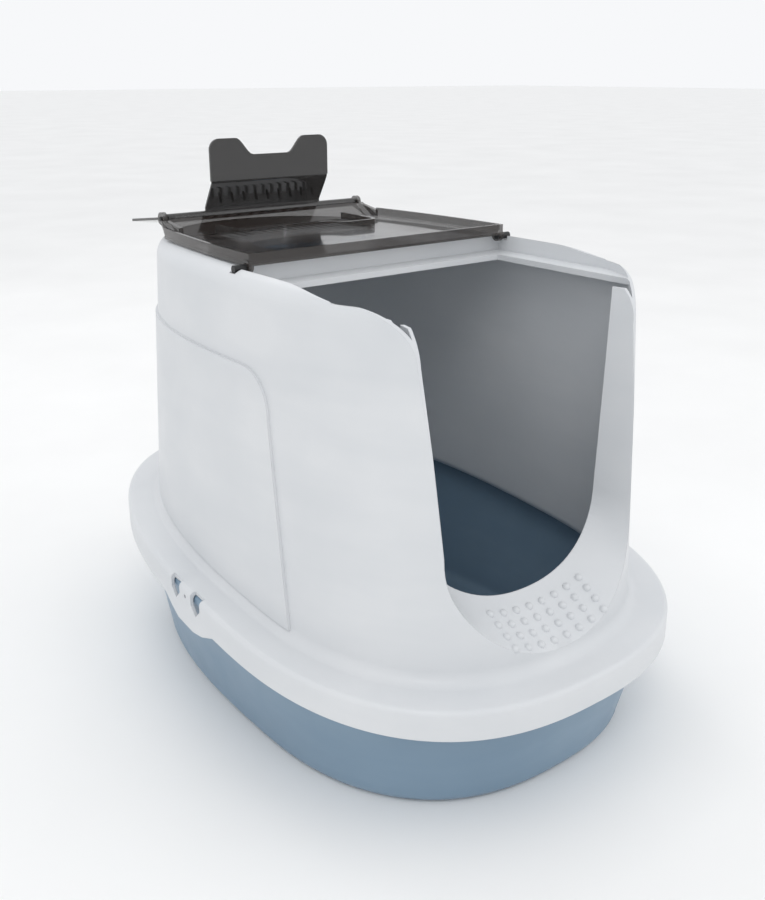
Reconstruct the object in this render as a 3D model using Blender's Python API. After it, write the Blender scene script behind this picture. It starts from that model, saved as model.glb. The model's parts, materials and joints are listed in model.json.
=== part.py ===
"""Cat litter box with a hood: tray, hood, fold-back lid with a swing flap, folding carry handle and vent filter.

Metres, +Z up, -Y is the mouth. The origin is the middle of the tray's underside. The lid is folded back on the roof.
"""

import math

import bmesh
import bpy
from mathutils import Matrix, Vector

# overall
LENGTH = 0.560
WIDTH = 0.390
HEIGHT = 0.385
WIDEST_Y = -0.060  # where the egg-shaped outline is widest
OUTLINE_POWER = 2.5
SIDES = 60  # points round an outline
PLAY = 0.0004  # clearance between pieces that touch
RUN = 0.0010  # clearance round a piece that moves
OVERLAP = 0.0003  # how far joined shapes reach into or stand off each other

# hood
HOOD_WALL = 0.0028
FLANGE_Z = 0.125  # height of the flange's top at mid length
FLANGE_RISE = 0.08  # the flange climbs this much per metre towards the rear
FLANGE_WIDTH = 0.032
FLANGE_ROUND = 0.004
SKIRT_DROP = 0.024
WALL_DRAFT = 0.011
FOOT_ROUND = 0.010
CROWN = 0.016  # radius from the walls into the roof

# tray
TRAY_WALL = 0.0026
RIM_WIDTH = 0.008
RIM_DEPTH = 0.003
TRAY_DRAFT = 0.020
TRAY_BASE_ROUND = 0.010

# clip on each side of the flange
CLIP_Y = -0.003
LOBE_LENGTH = 0.090
LOBE_DROP = 0.012
CLIP_SLOT_WIDTH = 0.0155
CLIP_SLOT_HEIGHT = 0.020
CLIP_TONGUE = 0.0205

# mouth, seen from the front
MOUTH_TOP = 0.112  # half width at the roof
MOUTH_WAIST = 0.097  # half width where the round sill begins
MOUTH_WAIST_Z = 0.205
SILL_Z = 0.140  # inner edge of the ramp
RAMP_DROP = 0.026
RAMP_DEPTH = 0.042
MOUTH_FLARE = 0.010
MOUTH_RIM = 0.003
BROW_Y = -0.200  # front edge of the side walls, high up
BROW_ROUND = 0.045  # radius from the roof down into that edge
BROW_LEAN = 0.022  # how far that edge comes forward down to the waist
BROW_DROP = 0.0065  # how far the walls' top sinks before it rounds down
BROW_START = -0.072  # where it begins to sink

# lid
HINGE_Y = -0.022
HINGE_ABOVE = -0.0005  # hinge axis against the roof's top
LID_BELOW = 0.002  # lid's top under the roof's top, when it is shut
LID_WALL = 0.0025
LID_TAIL = 0.005  # behind the hinge axis
LID_LENGTH = 0.162  # from the hinge axis to the crease
LID_REAR_HALF = 0.133
LID_FRONT_HALF = 0.1185
LID_SKIRT = 0.0095
SLOPE_RUN = 0.018
SLOPE_FALL = 0.0115
LID_NOSE_HALF = 0.113
LEDGE_BELOW = 0.014
LEDGE_DEPTH = 0.005
LEDGE_REACH = 0.020
LID_MARGIN = 0.006
TAIL_LEDGE = 0.020
LID_PIN_RADIUS = 0.003
LUG_RADIUS = 0.0055
EAR_LENGTH = 0.015  # how far the ears pass the dip between them
EAR_INNER = 0.019
EAR_OUTER = 0.037
EAR_ROUND = 0.010
OPENING_HALF = 0.0686
OPENING_RIM = 0.009
OPENING_FRONT = 0.024  # from the flap's axis
RIM_FRONT = 0.028  # from the flap's axis

# swing flap
FLAP_RADIUS = 0.004
FLAP_WALL = 0.0024
FLAP_HALF = 0.105
APRON_LENGTH = 0.086
APRON_LEAN = 6.5  # degrees ahead of straight down, when all is shut
APRON_BOW = 0.008
TAB_HALF = 0.064
TAB_LENGTH = 0.068
FINGER_GAP = 0.016
FLAP_PIN_RADIUS = 0.002
KNUCKLE_WALL = 0.004
KNUCKLE_ROUND = 0.006
KNUCKLE_ROOT = 0.034  # how far behind the flap's axis a cheek meets the lid
ROOT_START = 0.031  # where the tab begins behind the flap's axis
TAB_LEVEL = 0.0123  # the tab's plane above the flap's axis

# vent and filter
SLOTS = 17
SLOT_PITCH = 0.0096
SLOT_WIDTH = 0.0045
VENT_REAR_Y = 0.181
VENT_REAR_SAG = 0.030
VENT_FRONT_Y = 0.125
VENT_FRONT_SAG = 0.015
PAD_LENGTH = 0.080
PAD_HEIGHT = 0.008
PAD_BORDER = 0.004
PAD_UNDER_ROOF = 0.003
COVER_WALL = 0.002
COVER_BARS = 7

# carry handle
HANDLE_HALF = 0.0676
HANDLE_LEG = 0.012
HANDLE_BAR = 0.018
HANDLE_REAR_Y = 0.088
HANDLE_AXIS_Y = 0.034
HANDLE_FOOT = 0.007  # ahead of the axis
HANDLE_THICK = 0.008
HANDLE_BELOW = 0.006
HANDLE_ROUND = 0.022
HANDLE_PIN_RADIUS = 0.0022
WELL_DEPTH = 0.026
POCKET_WALL = 0.0025
POCKET_MARGIN = 0.002

LID_OPEN = -180.0  # turn of the lid from shut to folded back
FLAP_OPEN = -90.0  # turn of the flap against the lid

roof_z = HEIGHT
hinge_z = roof_z + HINGE_ABOVE
lid_top = roof_z - LID_BELOW - hinge_z  # from the hinge axis
flap_axis = Vector((0, -LID_LENGTH - SLOPE_RUN - 0.004, lid_top - SLOPE_FALL - 0.0025))


def clear_scene():
    for item in list(bpy.data.objects):
        bpy.data.objects.remove(item, do_unlink=True)


def finish(name, color, roughness, alpha=1.0):
    made = bpy.data.materials.new(name)
    made.use_nodes = True
    shader = made.node_tree.nodes["Principled BSDF"]
    shader.inputs["Base Color"].default_value = (*color, 1.0)
    shader.inputs["Roughness"].default_value = roughness
    shader.inputs["Alpha"].default_value = alpha
    return made


def solid(name, bm, material=None):
    """A mesh object from a bmesh whose faces are turned outwards."""
    bm.normal_update()
    bmesh.ops.triangulate(bm, faces=bm.faces)
    bmesh.ops.recalc_face_normals(bm, faces=bm.faces)
    mesh = bpy.data.meshes.new(name)
    bm.to_mesh(mesh)
    bm.free()
    item = bpy.data.objects.new(name, mesh)
    bpy.context.scene.collection.objects.link(item)
    if material:
        mesh.materials.append(material)
    return item


def helper(item):
    item.hide_render = True
    item.display_type = "WIRE"
    return item


def boolean(item, other, operation, solver="EXACT"):
    step = item.modifiers.new(other.name, "BOOLEAN")
    step.object = helper(other)
    step.operation = operation
    step.solver = solver


def cut(item, other, solver="EXACT"):
    boolean(item, other, "DIFFERENCE", solver)


def join(item, other, solver="EXACT"):
    boolean(item, other, "UNION", solver)


def ring_faces(bm, rings):
    """Skins neighbouring rings of vertices."""
    for low, high in zip(rings, rings[1:]):
        for i in range(len(low)):
            j = (i + 1) % len(low)
            bm.faces.new((low[i], low[j], high[j], high[i]))


def lofted(name, rings, material=None):
    """A closed solid through rings of points, capped at both ends."""
    bm = bmesh.new()
    made = [[bm.verts.new(p) for p in ring] for ring in rings]
    ring_faces(bm, made)
    bm.faces.new(made[0])
    bm.faces.new(made[-1])
    return solid(name, bm, material)


def prism(name, outline, low, high, axis="Z", material=None):
    """A closed outline of (a, b) points drawn out along an axis from low to high."""
    place = {
        "X": lambda a, b, c: (c, a, b),
        "Y": lambda a, b, c: (a, c, b),
        "Z": lambda a, b, c: (a, b, c),
    }[axis]
    rings = [[place(a, b, c) for a, b in outline] for c in (low, high)]
    return lofted(name, rings, material)


def block(name, low, high):
    (x0, y0, z0), (x1, y1, z1) = low, high
    return prism(name, [(x0, y0), (x1, y0), (x1, y1), (x0, y1)], z0, z1)


def rod(name, radius, x0, x1, y, z, material=None, sides=20):
    turns = [2 * math.pi * i / sides for i in range(sides)]
    outline = [(y + radius * math.cos(t), z + radius * math.sin(t)) for t in turns]
    return prism(name, outline, min(x0, x1), max(x0, x1), "X", material)


def egg(inset=0.0, front_inset=None):
    """The plan outline, drawn in by inset, as (x, y) points."""
    half = WIDTH / 2 - inset
    rear = LENGTH / 2 - WIDEST_Y - inset
    front = LENGTH / 2 + WIDEST_Y - (inset if front_inset is None else front_inset)
    points = []
    for i in range(SIDES):
        turn = 2 * math.pi * (i + 0.5) / SIDES
        c, s = math.cos(turn), math.sin(turn)
        x = half * math.copysign(abs(c) ** (2 / OUTLINE_POWER), c)
        reach = rear if s > 0 else front
        points.append((x, WIDEST_Y + reach * math.copysign(abs(s) ** (2 / OUTLINE_POWER), s)))
    return points


def flange_z(y):
    return FLANGE_Z + FLANGE_RISE * y


def lobe(y):
    """How far the skirt hangs lower beside a clip, from 0 to 1."""
    away = abs(y - CLIP_Y) / (LOBE_LENGTH / 2)
    return 0.0 if away >= 1 else 0.5 + 0.5 * math.cos(math.pi * min(1, max(0, (away - 0.35) / 0.65)))


def at_flange(inset, above, lobed=False):
    drop = LOBE_DROP if lobed else 0.0
    return [(x, y, flange_z(y) + above - drop * lobe(y)) for x, y in egg(inset)]


def wall_ring(inset, share, top):
    """A ring on the hood's wall, at a share of the way from its foot up to top."""
    foot = FOOT_ROUND
    return [(x, y, (1 - share) * (flange_z(y) + foot) + share * top) for x, y in egg(inset)]


def crown_rings(inset, radius, top, steps=5):
    rings = []
    for i in range(steps + 1):
        turn = math.pi / 2 * i / steps
        drawn = inset + radius * (1 - math.cos(turn))
        rings.append([(x, y, top - radius * (1 - math.sin(turn))) for x, y in egg(drawn)])
    return rings


def hood_rings(wall):
    """Rings of the hood's skin from the skirt to the roof. wall is 0 outside, or the wall's thickness inside."""
    foot = FLANGE_WIDTH + wall
    top_inset = foot + WALL_DRAFT
    top = roof_z - wall
    turn = CROWN - wall
    low = -SKIRT_DROP
    rings = [at_flange(wall, low, lobed=True)]
    rings.append(at_flange(wall, -FLANGE_ROUND - wall))
    rings.append(at_flange(wall + 0.3 * FLANGE_ROUND, -wall - 0.3 * FLANGE_ROUND))
    rings.append(at_flange(wall + FLANGE_ROUND, -wall))
    rings.append(at_flange(foot - FOOT_ROUND, -wall + 0.001))
    rings.append(at_flange(foot - 0.3 * FOOT_ROUND, -wall + 0.3 * FOOT_ROUND))
    rings += [wall_ring(foot + WALL_DRAFT * s, s, top - turn) for s in (0.0, 0.35, 0.7)]
    return rings + crown_rings(top_inset, turn, top)


def hood_skin(material):
    bm = bmesh.new()
    outer = [[bm.verts.new(p) for p in ring] for ring in hood_rings(0.0)]
    inner = [[bm.verts.new(p) for p in ring] for ring in hood_rings(HOOD_WALL)]
    ring_faces(bm, inner[::-1] + outer)
    bm.faces.new(outer[-1])
    bm.faces.new(inner[-1])
    return solid("hood_shell", bm, material)


def mouth_outline(grow, lower):
    """The mouth from the front as (x, z) points: straight sides that close in, and a round sill."""
    top = MOUTH_TOP + grow
    waist = MOUTH_WAIST + grow
    sill = SILL_Z - lower
    high = roof_z + 0.03
    points = [(top, high), (top, roof_z - CROWN)]
    for i in range(17):
        turn = math.pi * i / 16
        points.append((waist * math.cos(turn), MOUTH_WAIST_Z - (MOUTH_WAIST_Z - sill) * math.sin(turn) ** 0.8))
    return points + [(-top, roof_z - CROWN), (-top, high)]


def mouth_funnel(name, grow):
    """The mouth's opening, wider and lower at the outer surface than inside. grow widens it all round."""
    inner_y = -LENGTH / 2 + FLANGE_WIDTH + RAMP_DEPTH
    rings = []
    for step in (-1.2, 0.0, 1.0, 2.2):  # from behind the collar to ahead of the hood
        flare = min(step, 1.0)
        outline = mouth_outline(grow + MOUTH_FLARE * flare, grow + RAMP_DROP * flare)
        rings.append([(x, inner_y - RAMP_DEPTH * step, z) for x, z in outline])
    return lofted(name, rings)


def brow_cutter():
    """What lies over and ahead of the side walls' sinking, round top corners."""
    high = roof_z + 0.02
    low = MOUTH_WAIST_Z
    front = -LENGTH / 2 - 0.02
    outline = [(BROW_START, high), (front, high), (front, low), (BROW_Y - BROW_LEAN, low)]
    for i in range(9):
        turn = math.pi / 2 * i / 8
        z = roof_z - BROW_DROP - (BROW_ROUND - BROW_DROP) * (1 - math.sin(turn))
        outline.append((BROW_Y + BROW_ROUND * (1 - math.cos(turn)), z))
    start = BROW_Y + BROW_ROUND
    for i in range(1, 9):
        sink = 0.5 + 0.5 * math.cos(math.pi * i / 8)
        outline.append((start + (BROW_START - start) * i / 8, roof_z + OVERLAP - (BROW_DROP + OVERLAP) * sink))
    return prism("brow_cut", outline, -WIDTH / 2, WIDTH / 2, "X")


def inside_walls(cutter, low, high):
    """Keeps a cutter off the hood's outer walls."""
    inside = egg(FLANGE_WIDTH + WALL_DRAFT + HOOD_WALL)
    boolean(cutter, prism("inside_walls", inside, low - OVERLAP, high + OVERLAP), "INTERSECT")
    return cutter


def collar_block():
    """The turned-in rim of the mouth, before the mouth is cut from it."""
    rim = mouth_funnel("mouth_rim", MOUTH_RIM)
    full = lofted("hood_inside_wall", hood_rings(HOOD_WALL / 2)[5:])
    depth = RAMP_DEPTH + FLANGE_WIDTH + WALL_DRAFT / 2
    low, high = flange_z(-LENGTH / 2) - 0.02, roof_z + 0.02
    hollow = lofted("collar_hollow", [[(x, y, z) for x, y in egg(FLANGE_WIDTH, depth)] for z in (low, high)])
    boolean(rim, full, "INTERSECT")
    cut(rim, hollow)
    return rim


def lid_half(y):
    """Half width of the lid at y from the hinge axis."""
    share = min(1.0, max(0.0, -y / LID_LENGTH))
    return LID_REAR_HALF - (LID_REAR_HALF - LID_FRONT_HALF) * share**2


def seat_half():
    return LID_REAR_HALF + LID_MARGIN


def lid_seat():
    """Rails and a cross bar under the roof that the shut lid lies in."""
    low = roof_z - LEDGE_BELOW - LEDGE_DEPTH
    front = -LENGTH / 2 + FLANGE_WIDTH
    outer = WIDTH / 2 - FLANGE_WIDTH - WALL_DRAFT - HOOD_WALL / 2
    seat = block("seat_block", (-outer, front, low), (outer, HINGE_Y + LID_TAIL + 0.006, roof_z - HOOD_WALL / 2))
    full = lofted("seat_bounds", hood_rings(HOOD_WALL / 2)[6:])
    boolean(seat, full, "INTERSECT")
    return seat


def make_hood(white):
    hood = hood_skin(white)
    join(hood, collar_block())
    join(hood, lid_seat())
    join(hood, handle_pocket())
    cut(hood, mouth_funnel("mouth_cut", 0.0))
    cut(hood, brow_cutter())
    reach = seat_half() - LEDGE_REACH
    front = -LENGTH / 2 - 0.02
    rear = HINGE_Y + LID_TAIL + 0.002
    high = roof_z + 0.02
    low = roof_z - LEDGE_BELOW
    under = low - LEDGE_DEPTH - 2 * OVERLAP
    roof = block("roof_cut", (-reach, front, under), (reach, rear - TAIL_LEDGE, high))
    cut(hood, inside_walls(roof, under, high))
    seat = block("seat_cut", (-seat_half(), front, low), (seat_half(), rear, high))
    cut(hood, inside_walls(seat, low, high))
    notch = LID_PIN_RADIUS + RUN
    for side in (-1, 1):
        far = side * (seat_half() + 0.006)
        xs = sorted((side * (seat_half() - 0.002), far))
        cut(hood, block("pin_notch", (xs[0], HINGE_Y - notch, hinge_z - notch), (xs[1], HINGE_Y + notch, high)))
    cut_vents(hood)
    cut_handle_pocket(hood)
    cut_clip_slots(hood)
    return hood


def slot_span(x):
    """Where a vent slot at x begins and ends."""
    away = (x / (SLOT_PITCH * (SLOTS - 1) / 2)) ** 2
    return VENT_FRONT_Y - VENT_FRONT_SAG * away, VENT_REAR_Y - VENT_REAR_SAG * away


def cut_vents(hood):
    for i in range(SLOTS):
        x = (i - (SLOTS - 1) / 2) * SLOT_PITCH
        front, rear = slot_span(x)
        half = SLOT_WIDTH / 2
        cut(hood, block("vent_slot", (x - half, front, roof_z - 0.02), (x + half, rear, roof_z + 0.01)))


def cut_clip_slots(hood):
    for side in (-1, 1):
        for way in (-1, 1):
            y = CLIP_Y + way * (CLIP_TONGUE + CLIP_SLOT_WIDTH) / 2
            half = CLIP_SLOT_WIDTH / 2
            z = flange_z(y) + 0.002
            foot = z - CLIP_SLOT_HEIGHT
            outline = [(y - half, z), (y - half, foot + half), (y, foot), (y + half, foot + half), (y + half, z)]
            xs = sorted((side * (WIDTH / 2 - 0.006), side * (WIDTH / 2 + 0.01)))
            cut(hood, prism("clip_slot", outline, *xs, axis="X"))


def handle_top():
    return roof_z - HANDLE_BELOW


def handle_outline(grow=0.0, inner=True):
    """The bail from above: two legs and a cross bar with round outer corners."""
    half = HANDLE_HALF + grow
    front = HANDLE_AXIS_Y - HANDLE_FOOT - grow
    rear = HANDLE_REAR_Y + grow
    turn = HANDLE_ROUND + grow
    points = [(half, front)]
    for i in range(7):
        angle = math.pi / 2 * i / 6
        points.append((half - turn + turn * math.cos(angle), rear - turn + turn * math.sin(angle)))
    points += [(-x, y) for x, y in points[::-1]]
    if inner:
        leg = HANDLE_HALF - HANDLE_LEG
        bar = HANDLE_REAR_Y - HANDLE_BAR
        points += [(-leg, front), (-leg, bar - 0.005), (-leg + 0.005, bar), (leg - 0.005, bar), (leg, bar - 0.005)]
        points += [(leg, front)]
    return points


def handle_pocket():
    """The tub under the roof that holds the folded handle."""
    grow = POCKET_MARGIN + POCKET_WALL
    return prism("pocket_block", handle_outline(grow, inner=False), handle_top() - WELL_DEPTH, roof_z - HOOD_WALL / 2)


def cut_handle_pocket(hood):
    floor = handle_top() - WELL_DEPTH + POCKET_WALL
    outline = handle_outline(POCKET_MARGIN, inner=False)
    cut(hood, prism("pocket_cut", outline, handle_top() - HANDLE_THICK - 0.0015, roof_z + 0.01))
    leg = HANDLE_HALF - HANDLE_LEG
    front = HANDLE_AXIS_Y + 0.004
    cut(hood, block("finger_well", (-leg, front, floor), (leg, HANDLE_REAR_Y - 0.006, roof_z + 0.01)))
    reach = HANDLE_HALF + POCKET_MARGIN + POCKET_WALL + 0.004
    radius = HANDLE_PIN_RADIUS + PLAY
    cut(hood, rod("handle_bore", radius, -reach, reach, HANDLE_AXIS_Y, handle_axis_z()))


def handle_axis_z():
    return handle_top() - HANDLE_THICK / 2


def make_handle(blue):
    top = handle_top()
    handle = prism("carry_handle", handle_outline(), top - HANDLE_THICK, top, material=blue)
    handle.data.transform(Matrix.Translation((0, -HANDLE_AXIS_Y, -handle_axis_z())))
    handle.location = (0, HANDLE_AXIS_Y, handle_axis_z())
    reach = HANDLE_HALF + 0.01
    radius = HANDLE_PIN_RADIUS + PLAY
    cut(handle, rod("handle_leg_bore", radius, -reach, reach, HANDLE_AXIS_Y, handle_axis_z()))
    return handle


def make_handle_pins(black):
    for name, side in (("left", -1), ("right", 1)):
        inner = side * (HANDLE_HALF - HANDLE_LEG + 0.001)
        outer = side * (HANDLE_HALF + POCKET_MARGIN + POCKET_WALL + 0.001)
        rod("handle_pin_" + name, HANDLE_PIN_RADIUS, inner, outer, HANDLE_AXIS_Y, handle_axis_z(), black, sides=16)


def make_tray(blue):
    """The tray's skin: outside from the base up to the rim, then down inside to the floor."""
    rim_inset = HOOD_WALL + RUN
    rim_top = -HOOD_WALL - PLAY
    top_inset = rim_inset + RIM_WIDTH
    base_inset = top_inset + TRAY_DRAFT
    base = TRAY_BASE_ROUND

    rim_low = rim_top - FLANGE_ROUND - RIM_DEPTH

    def side(inset, share, foot):
        return [(x, y, (1 - share) * foot + share * (flange_z(y) + rim_low)) for x, y in egg(inset)]

    def flat(inset, z):
        return [(x, y, z) for x, y in egg(inset)]

    outer = [flat(base_inset + base, 0.0), flat(base_inset + 0.3 * base, 0.3 * base)]
    outer += [side(base_inset - TRAY_DRAFT * s, s, base) for s in (0.0, 0.5, 1.0)]
    outer += [at_flange(rim_inset, rim_low), at_flange(rim_inset, rim_top - FLANGE_ROUND)]
    outer.append(at_flange(rim_inset + FLANGE_ROUND, rim_top))
    wall = TRAY_WALL
    inner = [at_flange(top_inset + wall, rim_top)]
    inner += [side(base_inset + wall - TRAY_DRAFT * s, s, base + wall) for s in (0.5, 0.0)]
    inner += [flat(base_inset + wall + 0.3 * base, wall + 0.3 * base), flat(base_inset + wall + base, wall)]
    return lofted("litter_tray", outer + inner, blue)


def ears_outline(half, length, front):
    """A tongue with two ears and a dip between them, as (x, y) points. y runs back from front to length."""
    points = [(half, front)]
    count = 24
    for i in range(count + 1):
        x = half * math.cos(math.pi * i / count)
        rise = min(1.0, max(0.0, (abs(x) - EAR_INNER) / (EAR_OUTER - EAR_INNER)))
        y = length - EAR_LENGTH * (1 - rise * rise * (3 - 2 * rise))
        past = max(0.0, abs(x) - (half - EAR_ROUND))
        points.append((x, y - EAR_ROUND + math.sqrt(max(0.0, EAR_ROUND**2 - past**2))))
    return points + [(-half, front)]


def opening_outline(grow=0.0, front=OPENING_FRONT):
    """The opening in the lid, in the lid's own axes."""
    outline = ears_outline(OPENING_HALF + grow, TAB_LENGTH + FINGER_GAP + grow, front)
    return [(x, y + flap_axis.y) for x, y in outline]


def opening_rim():
    """The rib under the lid, round the sides and rear of its opening."""
    outer = opening_outline(LID_WALL, RIM_FRONT)
    inner = opening_outline(-OVERLAP, RIM_FRONT)
    low, high = lid_top - OPENING_RIM, lid_top - LID_WALL / 2
    sections = []
    for (x0, y0), (x1, y1) in zip(outer, inner):
        sections.append([(x0, y0, low), (x1, y1, low), (x1, y1, high), (x0, y0, high)])
    return lofted("opening_rim", sections)


def lid_outline(drawn_in=0.0):
    steps = [LID_TAIL - drawn_in] + [-LID_LENGTH * i / 8 for i in range(9)]
    right = [(lid_half(y) - drawn_in, y) for y in steps]
    return right + [(-x, y) for x, y in right[::-1]]


def side_skirt(side):
    """The rib under the lid's side edge."""
    sections = []
    for i in range(9):
        y = LID_TAIL - OVERLAP - (LID_TAIL + LID_LENGTH - 0.001) * i / 8
        outer = side * (lid_half(y) - OVERLAP)
        inner = side * (lid_half(y) - LID_WALL)
        low, high = lid_top - LID_SKIRT, lid_top - LID_WALL / 2
        sections.append([(outer, y, low), (inner, y, low), (inner, y, high), (outer, y, high)])
    return lofted("side_skirt", sections)


def slope_plate(drawn_in):
    """The lid's front slope, from the crease down towards the flap's axis."""
    dy, dz = SLOPE_RUN, SLOPE_FALL
    long = math.hypot(dy, dz)
    down = Vector((0, dz, -dy)) * (LID_WALL / long)
    rows = []
    for share, half in ((-0.08, LID_FRONT_HALF), (1.0, LID_NOSE_HALF)):
        top = Vector((0, -LID_LENGTH - dy * share, lid_top - OVERLAP - dz * share))
        rows.append([top + Vector((half - drawn_in, 0, 0)), top + Vector((-half + drawn_in, 0, 0))])
        rows[-1] += [rows[-1][1] + down, rows[-1][0] + down]
    return lofted("slope_plate", rows)


def knuckle(side):
    """A cheek at the lid's front corner that carries a flap pin."""
    inner = side * (FLAP_HALF + RUN)
    outer = side * (FLAP_HALF + RUN + KNUCKLE_WALL)
    y, z = flap_axis.y, flap_axis.z
    turns = [math.pi * i / 8 for i in range(6, 17)]
    outline = [(y + KNUCKLE_ROUND * math.cos(t), z + KNUCKLE_ROUND * math.sin(t)) for t in turns]
    root, high = y + KNUCKLE_ROOT, lid_top - LID_WALL * 0.4
    outline += [(root, lid_top - LID_SKIRT), (root, high), (root - 0.013, high)]
    return prism("knuckle", outline, *sorted((inner, outer)), axis="X")


def turned(item, degrees, at):
    item.location = at
    item.rotation_euler = (math.radians(degrees), 0, 0)
    return item


def in_lid(item, lid):
    """Carries a helper that was made in the lid's own axes."""
    item.parent = lid
    return item


def make_lid(smoke):
    """The lid is drawn shut, about its hinge axis, and then folded back."""
    lid = prism("lid_panel", lid_outline(), lid_top - LID_WALL, lid_top, material=smoke)
    turned(lid, LID_OPEN, (0, HINGE_Y, hinge_z))
    tail = block("lid_tail_bar", (-LID_REAR_HALF + LID_WALL, LID_TAIL - LID_WALL, lid_top - LID_SKIRT),
                 (LID_REAR_HALF - LID_WALL, LID_TAIL - OVERLAP, lid_top - LID_WALL / 2))
    lugs = []
    for side in (-1, 1):
        xs = sorted((side * (LID_REAR_HALF - LID_WALL * 1.6), side * (LID_REAR_HALF + OVERLAP)))
        lug = rod("pin_lug", LUG_RADIUS, *xs, 0.0, -LUG_RADIUS * 0.2)
        lugs.append(lug)
    opening = prism("ears_opening", opening_outline(), lid_top - 0.03, lid_top + 0.01)
    bore = rod("lid_bore", LID_PIN_RADIUS + PLAY, -0.2, 0.2, 0.0, 0.0)
    flap_bore = rod("flap_bore", FLAP_PIN_RADIUS + PLAY, -0.2, 0.2, flap_axis.y, flap_axis.z)
    parts = [side_skirt(-1), side_skirt(1), tail, slope_plate(2 * OVERLAP), opening_rim(), knuckle(-1), knuckle(1), *lugs]
    for part in parts:
        join(lid, in_lid(part, lid), "MANIFOLD")
    for part in (opening, bore, flap_bore):
        cut(lid, in_lid(part, lid), "MANIFOLD")
    return lid


def make_lid_pins(lid, black):
    for name, side in (("left", -1), ("right", 1)):
        inner = side * (LID_REAR_HALF - LID_WALL * 1.6 + 0.0005)
        outer = side * (seat_half() + 0.005)
        rod("lid_pin_" + name, LID_PIN_RADIUS, inner, outer, 0.0, 0.0, black).parent = lid


def apron(name):
    """The bowed plate that hangs in the mouth, from the flap's axis."""
    lean = math.radians(APRON_LEAN)
    across, along = 16, 4
    bm = bmesh.new()

    def corner(i, j, face):
        share = j / along
        x = (i / across * 2 - 1) * (FLAP_HALF - 2 * RUN - 0.003 * share)
        v = APRON_LENGTH * share * (1 - 0.06 * (x / FLAP_HALF) ** 6 * share)
        y = -v * math.sin(lean) - APRON_BOW * (1 - (x / FLAP_HALF) ** 2) * share + face * FLAP_WALL / 2
        return (x, y, -v * math.cos(lean))

    grids = []
    for face in (-1, 1):
        grids.append([[bm.verts.new(corner(i, j, face)) for i in range(across + 1)] for j in range(along + 1)])
    for grid in grids:
        for low, high in zip(grid, grid[1:]):
            for i in range(across):
                bm.faces.new((low[i], low[i + 1], high[i + 1], high[i]))
    front, back = grids
    edge = front[0] + [row[-1] for row in front[1:]] + front[-1][-2::-1] + [row[0] for row in front[-2:0:-1]]
    match = back[0] + [row[-1] for row in back[1:]] + back[-1][-2::-1] + [row[0] for row in back[-2:0:-1]]
    for i in range(len(edge)):
        j = (i + 1) % len(edge)
        bm.faces.new((edge[i], edge[j], match[j], match[i]))
    return solid(name, bm)


def tab_root():
    """The strip that leads from the barrel, under the slope, up to the tab."""
    half = FLAP_WALL / 2 - OVERLAP
    line = [(0.0, -0.0022), (0.0064, -0.0020), (0.0245, TAB_LEVEL - 0.0029)]
    line += [(ROOT_START - 0.0015, TAB_LEVEL), (ROOT_START + 0.003, TAB_LEVEL)]
    top = [(y - 0.3 * half, z + half) for y, z in line[:3]] + [(y, z + half) for y, z in line[3:]]
    low = [(y + 0.3 * half, z - half) for y, z in line[:3]] + [(y, z - half) for y, z in line[3:]]
    return prism("tab_root", top + low[::-1], 2 * OVERLAP - TAB_HALF, TAB_HALF - 2 * OVERLAP, "X")


def make_flap(lid, smoke):
    """The flap is drawn shut, about its own axis, and then swung through the lid's opening."""
    flap = rod("swing_flap", FLAP_RADIUS, -FLAP_HALF + RUN, FLAP_HALF - RUN, 0.0, 0.0, smoke)
    flap.parent = lid
    turned(flap, FLAP_OPEN, flap_axis)
    half = FLAP_WALL / 2
    tab = prism("tab", ears_outline(TAB_HALF, TAB_LENGTH, ROOT_START), TAB_LEVEL - half, TAB_LEVEL + half)
    for part in (apron("apron"), tab_root(), tab):
        part.parent = flap
        join(flap, part)
    bore = rod("flap_end_bore", FLAP_PIN_RADIUS + PLAY, FLAP_HALF - 0.008, FLAP_HALF + 0.01, 0.0, 0.0)
    other = rod("flap_far_bore", FLAP_PIN_RADIUS + PLAY, -FLAP_HALF - 0.01, -FLAP_HALF + 0.008, 0.0, 0.0)
    for part in (bore, other):
        part.parent = flap
        cut(flap, part)
    return flap


def make_flap_pins(lid, black):
    for name, side in (("left", -1), ("right", 1)):
        inner = side * (FLAP_HALF - 0.007)
        outer = side * (FLAP_HALF + RUN + KNUCKLE_WALL + 0.001)
        pin = rod("flap_pin_" + name, FLAP_PIN_RADIUS, inner, outer, 0.0, 0.0, black, sides=16)
        pin.parent = lid
        pin.location = flap_axis


def pad_bounds():
    """The filter pad's (x half width, front, rear, low, high)."""
    half = SLOT_PITCH * (SLOTS - 1) / 2 + SLOT_WIDTH / 2 + PAD_BORDER
    middle = (VENT_REAR_Y + VENT_FRONT_Y - VENT_FRONT_SAG) / 2
    high = roof_z - HOOD_WALL - PAD_UNDER_ROOF
    return half, middle - PAD_LENGTH / 2, middle + PAD_LENGTH / 2, high - PAD_HEIGHT, high


def make_filter(black, white):
    half, front, rear, low, high = pad_bounds()
    pad = block("filter_pad", (-half, front, low), (half, rear, high))
    pad.data.materials.append(black)
    gap = PLAY + COVER_WALL
    base = low - PLAY - COVER_WALL
    cover = block("filter_cover", (-half - gap, front - gap, base), (half + gap, rear + gap, high + PLAY))
    cover.data.materials.append(white)
    room = block("cover_room", (-half - PLAY, front - PLAY, low - PLAY), (half + PLAY, rear + PLAY, roof_z))
    cut(cover, room)
    pitch = 2 * half / COVER_BARS
    for i in range(COVER_BARS):
        x = -half + pitch * (i + 0.5)
        wide = pitch * 0.36
        cut(cover, block("cover_gap", (x - wide, front + 0.006, base - 0.01), (x + wide, rear - 0.006, low + 0.001)))


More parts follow.
